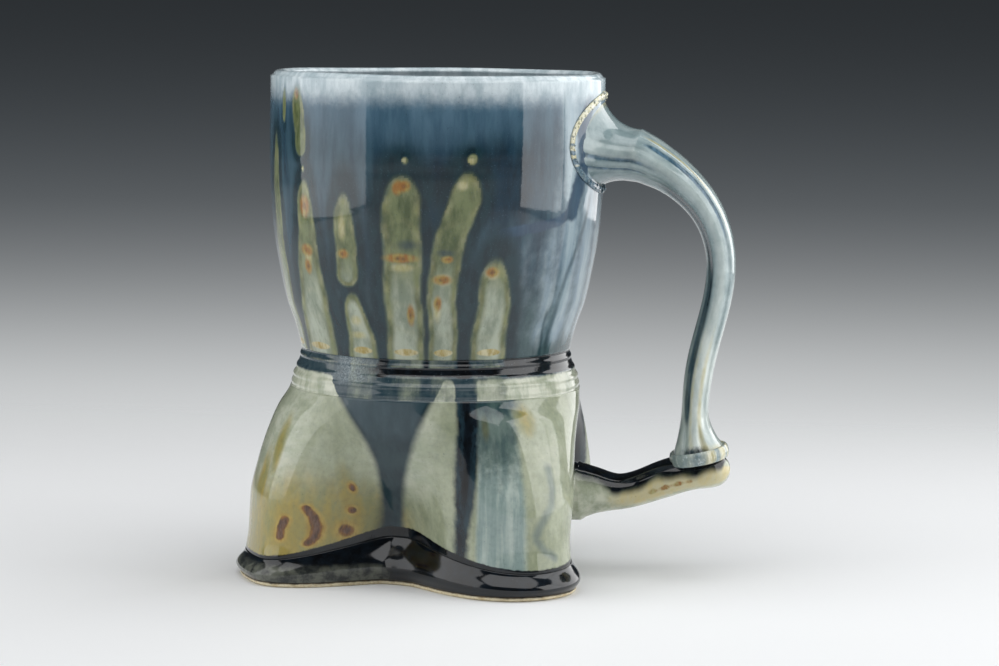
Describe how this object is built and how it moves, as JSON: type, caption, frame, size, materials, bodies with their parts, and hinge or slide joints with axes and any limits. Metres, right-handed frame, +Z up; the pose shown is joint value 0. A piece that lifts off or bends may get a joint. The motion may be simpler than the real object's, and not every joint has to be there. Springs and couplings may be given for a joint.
{
  "type": "beer stein",
  "caption": "Handmade glazed porcelain beer stein with a waisted open cup, a lobed skirt foot and a strap handle standing on a branching arm.",
  "frame": {"origin": "middle of the resting face, in the plane of the table, on the axis of the thrown cup", "axes": "+Z up along the axis of the cup, +X from the axis through the middle of the handle, +Y to its left seen from above"},
  "size_m": [0.1284, 0.095, 0.13],
  "materials": {
    "glaze_blue": "glossy slate blue glaze with cream and green drips",
    "glaze_waist": "glossy dark glaze pooled between turned ridges",
    "glaze_green": "glossy grey-green glaze with ochre patches and dark runs",
    "glaze_black": "glossy black glaze",
    "bare_clay": "bare fired clay, matt",
    "glaze_pale": "glossy pale blue glaze over pulled ridges",
    "seam_glaze": "glossy cream and blue glaze over a raised seam"
  },
  "bodies": {
    "root": {"cup_wall": "glaze_blue", "waist_collar": "glaze_waist", "skirt_wall": "glaze_green", "foot_lip": "glaze_black", "base_slab": "bare_clay", "handle_strap": "glaze_pale", "handle_arm": "glaze_black", "upper_seam": "seam_glaze", "knuckle_seam": "seam_glaze", "arm_seam": "seam_glaze"}
  },
  "joints": []
}
